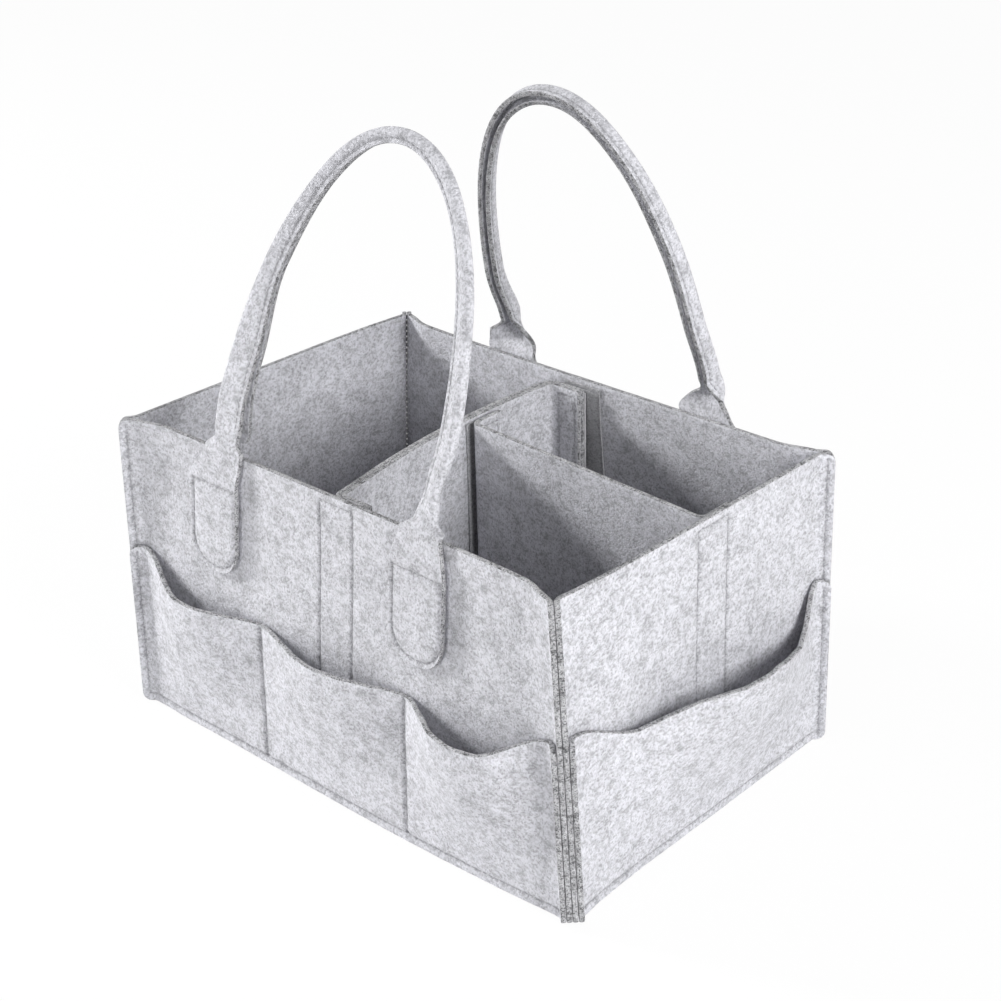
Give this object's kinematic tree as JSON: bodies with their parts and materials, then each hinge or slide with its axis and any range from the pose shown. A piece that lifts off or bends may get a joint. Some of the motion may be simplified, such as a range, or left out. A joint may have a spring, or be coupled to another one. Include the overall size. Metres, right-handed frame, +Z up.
{
  "type": "diaper bag organizer",
  "caption": "Grey felt diaper caddy with outside pockets all round, arched carrying handles and lift-out dividers.",
  "frame": {"origin": "middle of the box on the ground, midway between the outermost points of the four sides", "axes": "+X along the long walls towards the end with the cross divider, +Y from the front wall to the back wall, +Z up"},
  "size_m": [0.3828, 0.2624, 0.3676],
  "materials": {
    "felt": "matt",
    "loop_tape": "matt",
    "hook_tape": "matt"
  },
  "bodies": {
    "box": {"front_wall": "felt", "back_wall": "felt", "right_end_wall": "felt", "left_end_wall": "felt", "bottom_panel": "felt", "front_pocket": "felt", "back_pocket": "felt", "right_end_pocket": "felt", "left_end_pocket": "felt", "front_left_tab": "felt", "front_right_tab": "felt", "back_left_tab": "felt", "back_right_tab": "felt", "front_loop_tape": "loop_tape", "back_loop_tape": "loop_tape", "right_end_loop_tape": "loop_tape"},
    "front_handle": {"front_handle_strap": "felt"},
    "back_handle": {"back_handle_strap": "felt"},
    "main_divider": {"main_divider_outer_ply": "felt", "main_divider_inner_ply": "felt", "main_divider_back_hook_tape": "hook_tape", "main_divider_front_hook_tape": "hook_tape", "main_divider_loop_tape": "loop_tape"},
    "cross_divider": {"cross_divider_panel": "felt", "cross_divider_main_hook_tape": "hook_tape", "cross_divider_end_hook_tape": "hook_tape"}
  },
  "joints": [
    {"name": "front_handle_swing", "type": "hinge", "parent": "box", "child": "front_handle", "pos_m": [0, -0.1054, 0.185], "axis": [1, 0, 0], "range_deg": [-6.3, 163.7]},
    {"name": "back_handle_swing", "type": "hinge", "parent": "box", "child": "back_handle", "pos_m": [0, 0.1054, 0.185], "axis": [-1, 0, 0], "range_deg": [-13.4, 156.6]},
    {"name": "main_divider_lift", "type": "slide", "parent": "box", "child": "main_divider", "axis": [0, 0, 1], "range_m": [0, 0.13]},
    {"name": "cross_divider_lift", "type": "slide", "parent": "box", "child": "cross_divider", "axis": [0, 0, 1], "range_m": [0, 0.13]}
  ]
}
